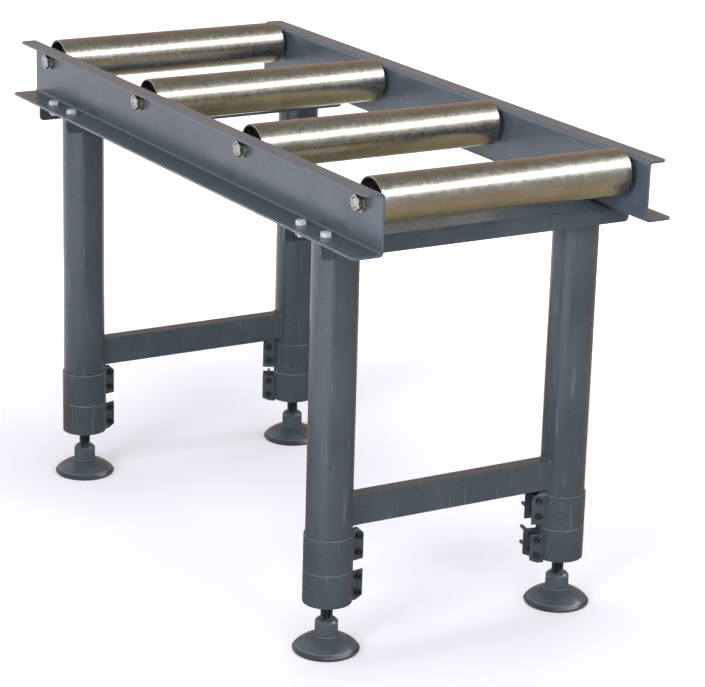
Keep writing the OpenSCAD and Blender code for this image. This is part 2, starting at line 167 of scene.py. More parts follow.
def painted_highlight_rings(tree: bpy.types.NodeTree, place: bpy.types.NodeSocket, colour: bpy.types.NodeSocket,
           highlight_rims: tuple[float, ...], width: float, pale: str) -> bpy.types.NodeSocket:
    """Pales a colour on level rings: painted highlights along edges.

    Args:
        tree: the material's tree
        place: the object coordinates
        colour: the colour away from the rings
        highlight_rims: heights of the painted highlight rings
        width: half the height of a ring
        pale: the colour of the painted highlights as hex
    Returns:
        the colour with its rings
    """
    height = add(tree, "SeparateXYZ", {0: place}).outputs["Z"]
    for rim in highlight_rims:
        ring = add(tree, "Math", {0: height}, {1: rim, 2: width}, operation="COMPARE")
        colour = blend(tree, ring.outputs[0], colour, pale)
    return colour


@dataclass(frozen=True)
class Finish:
    """A surface finish, from its common name, colour and typical optical values."""

    name: str
    colour: str
    roughness: float
    metallic: float = 0.0
    ior: float = 1.5

    def start(self) -> tuple[bpy.types.Material, bpy.types.NodeTree, bpy.types.Node, bpy.types.NodeSocket]:
        """Makes the material with its plain shader.

        Returns:
            the material, its tree, the shader and the object coordinates in metres
        """
        material = bpy.data.materials.new(self.name)
        material.use_nodes = True
        tree = material.node_tree
        shader = tree.nodes["Principled BSDF"]
        shader.inputs["Base Color"].default_value = linear(self.colour)
        shader.inputs["Roughness"].default_value = self.roughness
        shader.inputs["Metallic"].default_value = self.metallic
        if not self.metallic:
            shader.inputs["IOR"].default_value = self.ior
        return material, tree, shader, add(tree, "TexCoord").outputs["Object"]

    def join(self, tree: bpy.types.NodeTree, shader: bpy.types.Node, colour: bpy.types.NodeSocket,
             cloud: bpy.types.NodeSocket, span: tuple[float, float], change: tuple[float, float]) -> None:
        """Joins the colour to the shader, and a roughness that drifts with a clouding.

        Args:
            tree: the material's tree
            shader: its shader
            colour: the finished colour
            cloud: the clouding
            span: its values where the roughness starts and stops changing
            change: what is added to the roughness at those two values
        """
        tree.links.new(colour, shader.inputs["Base Color"])
        dulled = remap(tree, cloud, span, self.roughness + change[0], self.roughness + change[1])
        tree.links.new(dulled, shader.inputs["Roughness"])


@dataclass(frozen=True)
class StovedEnamel(Finish):
    """Slate grey enamel, sprayed on sheet and tube steel and stoved.

    The eye sees a dark smooth gloss with a faint orange peel, a film of dust in clouds, fine rubs from
    handling and, on the rails, edges where the coat is thin and worn pale. On a sleeve, pale lines on its rims and
    seam are painted highlights.
    """

    name: str = "slate_stoved_enamel"
    colour: str = "#3c4750"
    roughness: float = 0.27
    dust: str = "#505862"
    # Pale tone of the handling rubs and worn rail edges, and of the painted highlight lines on a sleeve
    pale_tone: str = "#7b8187"
    # The peel of sprayed enamel is 1 to 3 mm across, drawn at its coarsest to show
    peel_mm: float = 3.0
    cloud_mm: float = 90.0
    rub_mm: float = 5.0
    chip_mm: float = 14.0
    # Half the distance between the outer edges of the rails, where the coat is worn
    edge_x: float = 0.0
    edge_w: float = 1.2 * MM
    # Heights of the rims and seams of a sleeve, where pale lines are painted as highlights on the edges
    highlight_rims: tuple[float, ...] = ()
    highlight_rim_w: float = 0.6 * MM

    def build(self) -> bpy.types.Material:
        """Makes the material."""
        material, tree, shader, place = self.start()
        cloud = noise(tree, place, self.cloud_mm, 4.0)
        dusty = blend(tree, remap(tree, cloud, (0.42, 0.72), high=0.4), self.colour, self.dust)
        streak = add(tree, "Mapping", {"Vector": place}, {"Rotation": (0.5, 0.35, 0.2), "Scale": (1.0, 1.0, 0.07)})
        rubs = noise(tree, streak.outputs[0], self.rub_mm, 3.0)
        colour = blend(tree, remap(tree, rubs, (0.62, 0.72), high=0.32), dusty, self.pale_tone)
        if self.edge_x:
            axes = add(tree, "SeparateXYZ", {0: place})
            side = add(tree, "Math", {0: axes.outputs["X"]}, operation="ABSOLUTE")
            near = remap(tree, side.outputs[0], (self.edge_x - self.edge_w, self.edge_x))
            patch = remap(tree, noise(tree, place, self.chip_mm, 5.0), (0.45, 0.62), 0.05, 0.5)
            wear = add(tree, "Math", {0: near, 1: patch}, operation="MULTIPLY")
            colour = blend(tree, wear.outputs[0], colour, self.pale_tone)
        # Painted highlights: pale lines on a sleeve's rims and seam
        colour = painted_highlight_rings(tree, place, colour, self.highlight_rims, self.highlight_rim_w, self.pale_tone)
        self.join(tree, shader, colour, cloud, (0.35, 0.7), (-0.05, 0.1))
        peel = noise(tree, place, self.peel_mm, 1.0)
        bump = add(tree, "Bump", {"Height": peel}, {"Strength": 0.5, "Distance": 0.11 * MM})
        tree.links.new(bump.outputs[0], shader.inputs["Normal"])
        return material


@dataclass(frozen=True)
class CastEnamel(Finish):
    """Slate grey enamel over sand-cast iron.

    The eye sees the legs' colour with a softer gloss, the fine grain of the sand and a paler dusty top. Pale lines
    on the ridge and the collar are painted highlights, and the rim is painted darker towards the floor: painted
    shade under the ridge.
    """

    name: str = "slate_enamel_on_cast_iron"
    colour: str = "#434d58"
    roughness: float = 0.3
    dust: str = "#5a5f65"
    grain_mm: float = 2.2
    cloud_mm: float = 18.0
    dusty_from: float = 5 * MM
    dusty_to: float = 24 * MM
    # Heights of the rim's ridge and the collar, where pale lines are painted as highlights
    highlight_rims: tuple[float, ...] = (8.4 * MM, 22.3 * MM)
    highlight_rim_w: float = 0.35 * MM
    # Colour of the painted highlight lines on the ridge and the collar
    pale_tone: str = "#6a727a"
    # Painted shade under the ridge: the rim is darkened towards this colour, fully at the floor and by half at the
    # height below
    underside_shade: str = "#15191c"
    underside_shade_to: float = 8 * MM

    def build(self) -> bpy.types.Material:
        """Makes the material."""
        material, tree, shader, place = self.start()
        height = add(tree, "SeparateXYZ", {0: place}).outputs["Z"]
        rise = remap(tree, height, (self.dusty_from, self.dusty_to), high=0.6)
        cloud = noise(tree, place, self.cloud_mm, 4.0)
        veil = add(tree, "Math", {0: rise, 1: cloud}, operation="MULTIPLY")
        dusty = blend(tree, veil.outputs[0], self.colour, self.dust)
        # Painted shade: below the ridge the colour darkens, fully at the floor and by half just under the ridge
        low = add(tree, "Math", {0: height}, {1: self.underside_shade_to}, operation="LESS_THAN")
        fade = remap(tree, height, (0.0, self.underside_shade_to), 1.0, 0.5)
        shade_share = add(tree, "Math", {0: low.outputs[0], 1: fade}, operation="MULTIPLY")
        shaded_colour = blend(tree, shade_share.outputs[0], dusty, self.underside_shade)
        # Painted highlights: pale lines on the ridge and the collar
        colour = painted_highlight_rings(tree, place, shaded_colour, self.highlight_rims, self.highlight_rim_w, self.pale_tone)
        self.join(tree, shader, colour, cloud, (0.3, 0.7), (-0.06, 0.1))
        sand = noise(tree, place, self.grain_mm, 3.0)
        bump = add(tree, "Bump", {"Height": sand}, {"Strength": 0.5, "Distance": 0.08 * MM})
        tree.links.new(bump.outputs[0], shader.inputs["Normal"])
        return material


@dataclass(frozen=True)
class YellowChromate(Finish):
    """Zinc plate with yellow chromate on a turned steel tube.

    The eye sees a straw-coloured mirror that drifts to green and rose, clouded where the bath dried, with the
    fine rings of the lathe and a waviness that frays the edges of every reflection.
    """

    name: str = "yellow_chromated_zinc"
    colour: str = "#afafaa"
    roughness: float = 0.28
    metallic: float = 1.0
    straw: str = "#a3a193"
    rose: str = "#ab9f9b"
    cloud_mm: float = 35.0
    film_mm: float = 60.0
    ring_mm: float = 1.6
    wave_mm: float = 7.0

    def build(self) -> bpy.types.Material:
        """Makes the material."""
        material, tree, shader, place = self.start()
        cloud = noise(tree, place, self.cloud_mm, 5.0)
        warm = blend(tree, remap(tree, cloud, (0.35, 0.65)), self.colour, self.straw)
        drift = add(tree, "Mapping", {"Vector": place}, {"Location": (0.3, 0.1, 0.2), "Scale": (0.5, 1.0, 1.0)})
        film = noise(tree, drift.outputs[0], self.film_mm, 2.0)
        rosy = blend(tree, remap(tree, film, (0.5, 0.7), high=0.7), warm, self.rose)
        along = add(tree, "Mapping", {"Vector": place}, {"Scale": (1.0, 0.03, 0.03)})
        rings = noise(tree, along.outputs[0], self.ring_mm, 3.0)
        waves = noise(tree, place, self.wave_mm, 4.0)
        self.join(tree, shader, rosy, waves, (0.35, 0.7), (-0.04, 0.08))
        turned = add(tree, "Bump", {"Height": rings}, {"Strength": 0.25, "Distance": 0.03 * MM})
        wavy = add(tree, "Bump", {"Height": waves, "Normal": turned.outputs[0]},
                   {"Strength": 0.1, "Distance": 0.1 * MM})
        tree.links.new(wavy.outputs[0], shader.inputs["Normal"])
        return material


@dataclass(frozen=True)
class Metal(Finish):
    """A metal surface with a clouded tone and a fine tooled grain.

    The eye sees the metal's own colour break into lighter and darker patches, with a grain that
    spreads each highlight along one direction.
    """

    name: str = "metal"
    colour: str = "#c3c6c9"
    roughness: float = 0.3
    metallic: float = 1.0
    dull: str = "#8f9295"
    cloud_mm: float = 6.0
    grain_mm: float = 0.7
    # How the grain is stretched: small along the direction that it runs in
    grain: tuple[float, float, float] = (1.0, 1.0, 1.0)

    def build(self) -> bpy.types.Material:
        """Makes the material."""
        material, tree, shader, place = self.start()
        cloud = noise(tree, place, self.cloud_mm, 4.0)
        tone = blend(tree, remap(tree, cloud, (0.4, 0.68), high=0.8), self.colour, self.dull)
        self.join(tree, shader, tone, cloud, (0.35, 0.7), (-0.05, 0.12))
        stretch = add(tree, "Mapping", {"Vector": place}, {"Scale": self.grain})
        tooling = noise(tree, stretch.outputs[0], self.grain_mm, 2.0)
        bump = add(tree, "Bump", {"Height": tooling}, {"Strength": 0.3, "Distance": 0.03 * MM})
        tree.links.new(bump.outputs[0], shader.inputs["Normal"])
        return material


@dataclass
class Skin:
    """Points and faces of one shell, kept as arrays until its mesh is made."""

    points: np.ndarray
    faces: list[list[int]]
    material: int = 0


def skin(rows: np.ndarray, closed: bool = False, material: int = 0) -> Skin:
    """Covers a grid of points whose rows are closed rings.

    Point j of ring i is joined to its neighbours j + 1 and i + 1 by four-sided faces. A shell that isn't closed
    gets a fan from each end ring to that ring's mean point.

    Args:
        rows: the grid, rings by points by x, y, z
        closed: whether the last ring joins the first, as round a torus
        material: the number of the piece's material that the shell takes
    Returns:
        the shell
    """
    m, n, _ = rows.shape
    i, j = np.meshgrid(np.arange(m if closed else m - 1), np.arange(n), indexing="ij")
    here, up = i * n, (i + 1) % m * n
    quads = np.stack([here + j, here + (j + 1) % n, up + (j + 1) % n, up + j], -1).reshape(-1, 4)
    points, faces = rows.reshape(-1, 3), quads.tolist()
    if not closed:
        ring, following = np.arange(n), (np.arange(n) + 1) % n
        low = np.stack([np.full(n, m * n), following, ring], -1)
        high = np.stack([np.full(n, m * n + 1), (m - 1) * n + ring, (m - 1) * n + following], -1)
        points = np.concatenate([points, rows[:1].mean(1), rows[-1:].mean(1)])
        faces += low.tolist() + high.tolist()
    return Skin(points, faces, material)


def rounded(corners: list[tuple[float, float, float]], steps: int = 5, loop: bool = False) -> np.ndarray:
    """Rounds the corners of a profile.

    Each corner becomes a quadratic curve between the points one radius away from it on its two sides, which is
    pulled towards the corner itself.

    Args:
        corners: two coordinates and a rounding radius for each corner
        steps: segments of each rounded corner
        loop: whether the profile is closed
    Returns:
        the points of the rounded profile
    """
    points, radii = np.array(corners)[:, :2], np.array(corners)[:, 2]
    before, after = np.roll(points, 1, 0), np.roll(points, -1, 0)
    t = np.linspace(0, 1, steps + 1)[:, None]
    parts = []
    for a, p, b, r in zip(before, points, after, radii):
        start = p + (a - p) / np.linalg.norm(a - p) * r
        end = p + (b - p) / np.linalg.norm(b - p) * r
        parts.append((1 - t) ** 2 * start + 2 * t * (1 - t) * p + t ** 2 * end if r else p[None])
    if not loop:
        parts[0], parts[-1] = points[:1], points[-1:]
    return np.concatenate(parts)


@dataclass
class Axis:
    """A line that round pieces are turned about."""

    origin: np.ndarray
    direction: np.ndarray

    def place(self, radius: np.ndarray, height: np.ndarray, angle: np.ndarray) -> np.ndarray:
        """Puts cylinder coordinates about the line into space.

        A point is the origin, plus its height along the line, plus its radius times the cosine and sine of its
        angle along the two directions square to the line.

        Args:
            radius: distance from the line
            height: distance along it
            angle: angle round it, in radians
        Returns:
            x, y, z in a last axis
        """
        w = self.direction / np.linalg.norm(self.direction)
        side = UP if abs(w[2]) < 0.9 else np.array([1.0, 0.0, 0.0])
        u = np.cross(side, w)
        u /= np.linalg.norm(u)
        v = np.cross(w, u)
        radius, height, angle = (a[..., None] for a in np.broadcast_arrays(radius, height, angle))
        return self.origin + height * w + radius * (np.cos(angle) * u + np.sin(angle) * v)

    def lathe(self, profile: np.ndarray, columns: int, closed: bool = False) -> Skin:
        """Turns a profile about the line: the point at angle a of row i has the profile's radius and height.

        Args:
            profile: radius and height of each point
            columns: number of points round the line
            closed: whether the profile is a closed loop
        Returns:
            the turned shell
        """
        angle = np.arange(columns) / columns * TURN
        return skin(self.place(profile[:, :1], profile[:, 1:], angle[None]), closed)

    def thread(self, radius: float, pitch: float, low: float, high: float, columns: int, rows_per_turn: int,
               material: int = 0) -> Skin:
        """Cuts a metric thread about the line.

        The height over the pitch, less the share of a turn, gives a phase. The radius falls from the crest, an
        eighth of the pitch wide, down 60 degree flanks to the root, a quarter of the pitch wide. Over the first
        and last turn the crest fades to the root.

        Args:
            radius: radius of the crests
            pitch: rise in one turn
            low: height where the thread starts
            high: height where it ends
            columns: points round the line
            rows_per_turn: rings in one pitch
            material: the number of the piece's material
        Returns:
            the threaded rod
        """
        rings = int(round((high - low) / pitch * rows_per_turn)) + 1
        height = np.linspace(low, high, rings)[:, None]
        angle = np.arange(columns)[None] / columns * TURN
        phase = (height / pitch - angle / TURN) % 1
        off_crest = np.abs(phase - 0.5) * 2
        ridge = np.clip((0.75 - off_crest) / 0.625, 0, 1)
        fade = np.clip(np.minimum(height - low, high - height) / pitch, 0, 1)
        # A metric thread's depth is 5/8 of the height of its sharp triangle
        depth = 0.5413 * pitch
        return skin(self.place(radius - depth + depth * ridge * fade, height, angle), material=material)

    def hexagon(self, across: float, low: float, high: float, chamfer_r: float, low_r: float,
                columns: int) -> Skin:
        """Makes a hexagonal block whose corners are turned off at the ends.

        The radius at an angle is that of a hexagon, half the width over the cosine of the angle from the middle
        of its flat. It is never more than a corner worn by 4.5 percent of half the width, or than a 45 degree cone
        that meets the end at the chamfer's radius.

        Args:
            across: width across flats
            low: height of the lower end
            high: height of the upper end
            chamfer_r: radius where the cone meets the upper end
            low_r: the same radius for the lower end
            columns: points round the line, a multiple of six
        Returns:
            the block
        """
        angle = np.arange(columns)[None] / columns * TURN
        flat = across / 2 / np.cos((angle + math.pi / 6) % (math.pi / 3) - math.pi / 6)
        reach = across / 2 / math.cos(math.pi / 6)
        drop = reach - chamfer_r
        lower = low + np.linspace(0, 1, 7) * (reach - low_r)
        upper = high - np.linspace(1, 0, 13) * drop
        heights = np.concatenate([lower, upper])[:, None]
        cone = np.minimum(chamfer_r + (high - heights), low_r + (heights - low))
        worn = reach - 0.045 * across / 2
        return skin(self.place(np.minimum(np.minimum(flat, worn), cone), heights, angle))


def piece(name: str, skins: list[Skin], materials: list[bpy.types.Material], body: str,
          node: str | None = None) -> bpy.types.Object:
    """Makes one piece of the stand from its shells.

    Args:
        name: the piece's name
        skins: its shells
        materials: the materials that the shells number
        body: the moving body that it rides on
        node: the CAD node that it stands for
    Returns:
        the new object
    """
    offsets = np.cumsum([0] + [len(s.points) for s in skins[:-1]])
    faces = [[int(k) + int(o) for k in f] for s, o in zip(skins, offsets) for f in s.faces]
    mesh = bpy.data.meshes.new(name)
    mesh.from_pydata(np.concatenate([s.points for s in skins]).tolist(), [], faces)
    numbers = np.concatenate([np.full(len(s.faces), s.material) for s in skins])
    mesh.polygons.foreach_set("material_index", numbers)
    mesh.shade_smooth()
    mesh.set_sharp_from_angle(angle=SHARP)
    for material in materials:
        mesh.materials.append(material)
    made = bpy.data.objects.new(name, mesh)
    bpy.context.scene.collection.objects.link(made)
    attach(made, body)
    if node:
        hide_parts(node)
    log.info("%s: %d faces on %s", name, len(faces), body)
    return made


def eased(node: str, body: str, material: bpy.types.Material, radius: float) -> bpy.types.Object:
    """Makes a copy of a CAD node whose sharp edges are eased, as sheet and forgings have them.

    The copy's loose triangles are merged and its flat faces joined, and a bevel of two steps rounds every sharp
    edge.

    Args:
        node: the CAD node that the copy stands for
        body: the body that it rides on
        material: its finish
        radius: width of the rounding
    Returns:
        the new object
    """
    name = node + "_eased"
    work = bmesh.new()
    work.from_mesh(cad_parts[node].data)
    bmesh.ops.remove_doubles(work, verts=work.verts, dist=MERGE)
    bmesh.ops.dissolve_limit(work, angle_limit=FLAT, verts=work.verts, edges=work.edges)
    mesh = bpy.data.meshes.new(name)
    work.to_mesh(mesh)
    work.free()
    mesh.shade_smooth()
    mesh.materials.append(material)
    made = bpy.data.objects.new(name, mesh)
    bpy.context.scene.collection.objects.link(made)
    bevel = made.modifiers.new("eased", "BEVEL")
    bevel.width = radius
    bevel.segments = 2
    bevel.limit_method = "ANGLE"
    bevel.angle_limit = SHARP
    bevel.harden_normals = False
    even = made.modifiers.new("even_normals", "WEIGHTED_NORMAL")
    even.keep_sharp = True
    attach(made, body)
    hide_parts(node)
    log.info("%s: %d faces before easing", name, len(mesh.polygons))
    return made


def dress(node: str, material: bpy.types.Material) -> None:
    """Gives a CAD node its finish.

    Args:
        node: the node's name
        material: the finish
    """
    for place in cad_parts[node].material_slots:
        place.material = material
    log.info("%s: dressed in %s", node, material.name)


@dataclass
class Workshop:
    """The finishes, each made once."""

    rails: bpy.types.Material = field(init=False)
    paint: bpy.types.Material = field(init=False)
    sleeve: bpy.types.Material = field(init=False)
    cast: bpy.types.Material = field(init=False)
    chromate: bpy.types.Material = field(init=False)
    zinc: bpy.types.Material = field(init=False)
    bolt: bpy.types.Material = field(init=False)
    housing: bpy.types.Material = field(init=False)
    axle: bpy.types.Material = field(init=False)
    tube: bpy.types.Material = field(init=False)
    black: bpy.types.Material = field(init=False)

    def __post_init__(self) -> None:
        """Builds the materials."""
        edge_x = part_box("rail_right")[1][0]
        # The rails' enamel is the legs' enamel painted lighter: painted light, standing in for the light on the
        # rails' webs
        self.rails = StovedEnamel("slate_stoved_enamel_on_rails", "#4e5864", edge_x=edge_x).build()
        self.paint = StovedEnamel().build()
        # The sleeves end 160 mm over the floor, and their halves meet at 113 mm: pale lines are painted there as
        # highlights on the rim and the seam
        self.sleeve = StovedEnamel(name="slate_stoved_enamel_on_sleeves", pale_tone="#6f777e",
                                   highlight_rims=(112.5 * MM, 159.9 * MM)).build()
        self.cast = CastEnamel().build()
        self.chromate = YellowChromate().build()
        self.zinc = Metal("faded_chromated_zinc_plate", "#b3ada2", 0.3, dull="#857d6e", cloud_mm=4.0).build()
        self.bolt = Metal("zinc_flake_coat", "#dfe2e8", 0.36, metallic=0.0, dull="#c4c8d0", cloud_mm=4.0).build()
        self.housing = Metal("chromated_pressing", "#a9a384", 0.42, dull="#857f66", cloud_mm=8.0).build()
        # Ground bar: the grinding marks run round the axle
        self.axle = Metal("ground_steel_bar", "#a4a6a8", 0.26, dull="#86888a", grain=(1.0, 0.05, 0.05)).build()
        # Drawn tube: the draw marks run along the leg
        self.tube = Metal("drawn_steel_tube", "#9fa1a3", 0.34, dull="#7e8082", cloud_mm=20.0,
                          grain=(1.0, 1.0, 0.04)).build()
        self.black = Metal("oil_blackened_steel", "#5e646a", 0.28, dull="#42474c", cloud_mm=3.0).build()


@dataclass
class SideRails:
    """The two folded sheet channels that carry the axles."""

    shop: Workshop
    # The enamel eases the edges of cut 3 mm sheet to about half a millimetre
    edge_r: float = 0.6 * MM

    def build(self) -> None:
        """Makes both rails."""
        for side in ("left", "right"):
            eased(f"rail_{side}", "frame", self.shop.rails, self.edge_r)


@dataclass
class RollerSet:
    """The rollers with their bearings and axles."""

    shop: Workshop
    columns: int = 128
    lip_r: float = 1.2 * MM
    bore_lip_r: float = 0.84 * MM

    def tube(self, k: int) -> None:
        """Makes a roller tube with rounded lips.

        The profile runs along the outside, round the lip, back along the bore and round the other lip, and is
        turned about the roller's axis.

        Args:
            k: the roller's number
        """
        low, high = (np.array(c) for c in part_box(f"roller_tube_{k}"))
        plug_low, plug_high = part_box(f"bearing_housings_{k}")
        bore_r = (plug_high[2] - plug_low[2]) / 2
        outer_r, half = (high[2] - low[2]) / 2, (high[0] - low[0]) / 2
        axis = Axis((low + high) / 2, np.array([1.0, 0.0, 0.0]))
        corners = [(outer_r, -half, self.lip_r), (outer_r, half, self.lip_r),
                   (bore_r, half, self.bore_lip_r), (bore_r, -half, self.bore_lip_r)]
        profile = rounded(corners, 6, loop=True)
        shell = axis.lathe(profile, self.columns, closed=True)
        piece(f"roller_tube_{k}_turned", [shell], [self.shop.chromate], f"roller_{k}",
              f"roller_tube_{k}")

    def build(self) -> None:
        """Makes the four rollers and dresses what is inside them."""
        for k in ROLLERS:
            self.tube(k)
            dress(f"bearing_housings_{k}", self.shop.housing)
            dress(f"ball_bearings_{k}", self.shop.axle)
            dress(f"axle_{k}", self.shop.axle)
        dress("bearing_inner_rings", self.shop.axle)


@dataclass
class Fasteners:
    """The bolts, nuts and washers of the rails."""

    shop: Workshop
    edge_r: float = 0.25 * MM

    def build(self) -> None:
        """Eases the zinc-plated fasteners."""
        eased("frame_bolts", "frame", self.shop.bolt, self.edge_r)
        for node in ("frame_nuts", "axle_nuts", "axle_washers"):
            eased(node, "frame", self.shop.zinc, self.edge_r)


@dataclass
class LegFrame:
    """A crossbar with two leg tubes and the stretcher between them, welded together."""

    shop: Workshop
    end: str
    bead_r: float = 2.2 * MM
    ripple: float = 2.6 * MM
    edge_r: float = 0.5 * MM
    # How far the upper bead's middle is under the leg's end, and the corner radius of the stretcher
    sunk: float = 0.3 * MM
    corner_r: float = 2 * MM
    # Points of the bead round the leg, of the one round the stretcher, and of a bead's own ring
    leg_points: int = 240
    joint_points: int = 160
    ring_points: int = 10

    def bead(self, path: np.ndarray) -> Skin:
        """Lays a weld bead along a closed path.

        A ring of points square to the path is carried along it. Its radius swells and sinks by a tenth with each
        ripple of the weld pool.

        Args:
            path: points of the path
        Returns:
            the bead
        """
        step = np.linalg.norm(np.roll(path, -1, 0) - path, axis=1)
        run = np.concatenate([[0.0], np.cumsum(step)[:-1]])
        turns = max(1, round(step.sum() / self.ripple))
        swell = 1 + 0.1 * np.sin(run / step.sum() * turns * TURN)
        ahead = np.roll(path, -1, 0) - np.roll(path, 1, 0)
        ahead /= np.linalg.norm(ahead, axis=1, keepdims=True)
        out = path - path.mean(0)
        out -= (out * ahead).sum(1, keepdims=True) * ahead
        out /= np.linalg.norm(out, axis=1, keepdims=True)
        across = np.cross(ahead, out)
        angle = (np.arange(self.ring_points) / self.ring_points * TURN)[None, :, None]
        spoke = np.cos(angle) * out[:, None] + np.sin(angle) * across[:, None]
        return skin(path[:, None] + (self.bead_r * swell)[:, None, None] * spoke, closed=True)

    def welds(self, leg: str) -> list[Skin]:
        """Makes a leg's weld beads.

        One is a ring where the leg meets the crossbar. The other runs round the stretcher's section, a rounded
        rectangle, and lies on the leg: its X is the root of the leg's radius squared less its Y squared.

        Args:
            leg: the leg's name
        Returns:
            the two beads
        """
        low, high = (np.array(c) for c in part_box(f"leg_{leg}"))
        mid, radius = (low + high) / 2, (high[1] - low[1]) / 2
        angle = np.arange(self.leg_points) / self.leg_points * TURN
        top = np.stack([mid[0] + radius * np.cos(angle), mid[1] + radius * np.sin(angle),
                        np.full(self.leg_points, high[2] - self.sunk)], -1)
        b_low, b_high = (np.array(c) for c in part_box(f"stretcher_{self.end}"))
        half_y, half_z = (b_high[1] - b_low[1]) / 2, (b_high[2] - b_low[2]) / 2
        signs = ((-1, -1), (1, -1), (1, 1), (-1, 1))
        square = rounded([(y * half_y, z * half_z, self.corner_r) for y, z in signs], 4, loop=True)
        length = np.concatenate([[0.0], np.cumsum(np.linalg.norm(np.roll(square, -1, 0) - square, axis=1))])
        ends = np.concatenate([square, square[:1]])
        along = np.arange(self.joint_points) / self.joint_points * length[-1]
        y, z = (np.interp(along, length, ends[:, c]) for c in (0, 1))
        x = mid[0] - np.sign(mid[0]) * np.sqrt(radius ** 2 - y ** 2)
        joint = np.stack([x, mid[1] + y, (b_low[2] + b_high[2]) / 2 + z], -1)
        return [self.bead(top), self.bead(joint)]

    def build(self) -> None:
        """Dresses the frame's tubes and lays its welds."""
        eased(f"crossbar_{self.end}", "frame", self.shop.paint, self.edge_r)
        dress(f"stretcher_{self.end}", self.shop.paint)
        for side in ("left", "right"):
            leg = f"{self.end}_{side}"
            dress(f"leg_{leg}", self.shop.paint)
            piece(f"welds_{leg}", self.welds(leg), [self.shop.paint], "frame")


@dataclass
class Clamp:
    """The sleeve that grips an inner leg, with its four socket screws."""

    shop: Workshop
    leg: str
    edge_r: float = 0.7 * MM
    screw_edge_r: float = 0.3 * MM

    def build(self) -> None:
        """Eases the sleeve and its screws."""
        eased(f"clamp_sleeve_{self.leg}", "frame", self.shop.sleeve, self.edge_r)
        eased(f"clamp_bolts_{self.leg}", "frame", self.shop.black, self.screw_edge_r)


